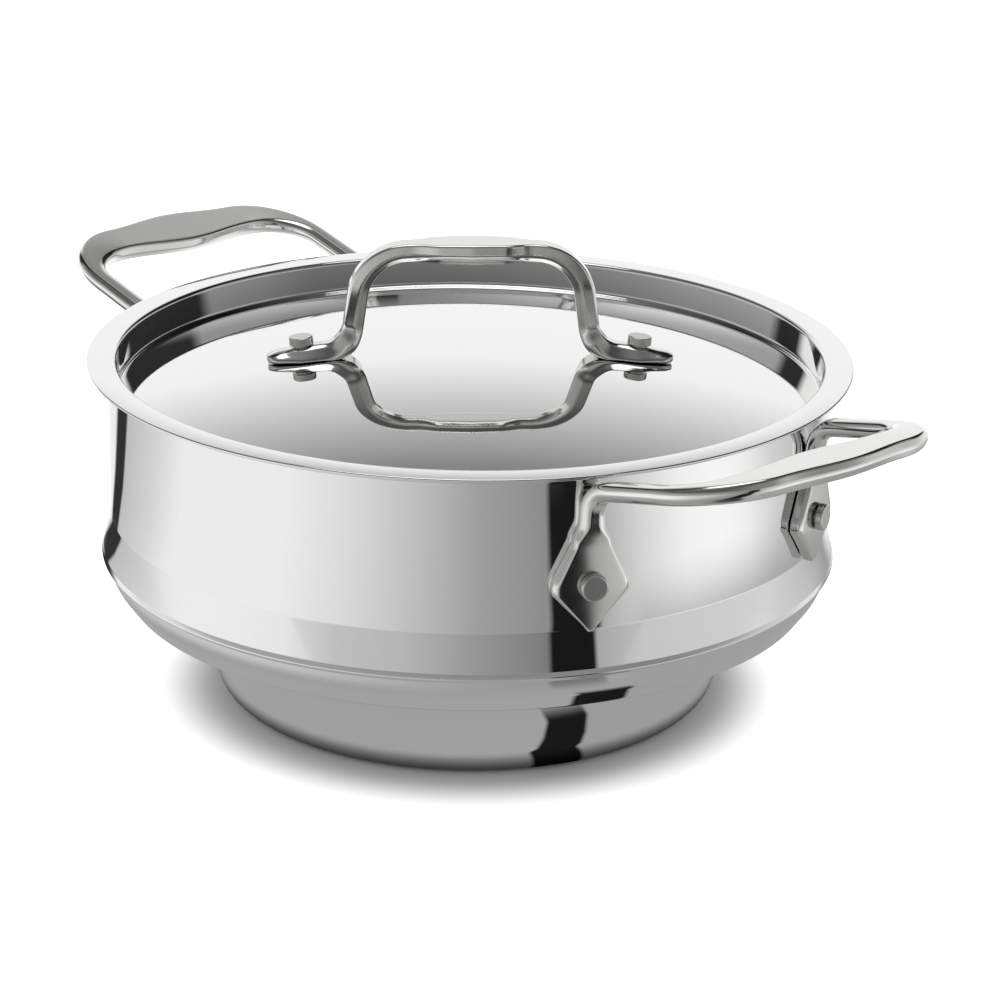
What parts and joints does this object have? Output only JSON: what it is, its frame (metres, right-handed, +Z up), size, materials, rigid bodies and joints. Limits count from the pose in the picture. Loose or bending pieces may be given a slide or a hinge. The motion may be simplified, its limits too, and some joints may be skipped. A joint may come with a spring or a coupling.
{
  "type": "steamer pot",
  "caption": "Stepped steamer pot with a perforated base, two looped side handles and a recessed domed lid that lifts off; its narrow lower drum drops into a saucepan.",
  "frame": {"origin": "centre of the base, on the surface that the pot stands on", "axes": "+X out through the middle of the right side handle, +Y towards the back, +Z up"},
  "size_m": [0.3164, 0.23, 0.1409],
  "materials": {
    "polished_shell": "mirror-polished stainless steel",
    "polished_lid": "mirror-polished stainless steel",
    "cast_handle": "satin-polished cast stainless steel",
    "rivet": "satin stainless steel"
  },
  "bodies": {
    "pot": {"steamer_body": "polished_shell", "lower_drum": "polished_shell", "perforated_base": "polished_shell", "side_handle_left": "cast_handle", "side_handle_right": "cast_handle", "side_rivet_left_front": "rivet", "side_rivet_left_rear": "rivet", "side_rivet_right_front": "rivet", "side_rivet_right_rear": "rivet"},
    "lid": {"lid_shell": "polished_lid", "lid_handle": "cast_handle", "lid_rivet_left": "rivet", "lid_rivet_right": "rivet"}
  },
  "joints": [
    {"name": "lid_lift", "type": "slide", "parent": "pot", "child": "lid", "axis": [0, 0, 1], "range_m": [0, 0.15]}
  ]
}
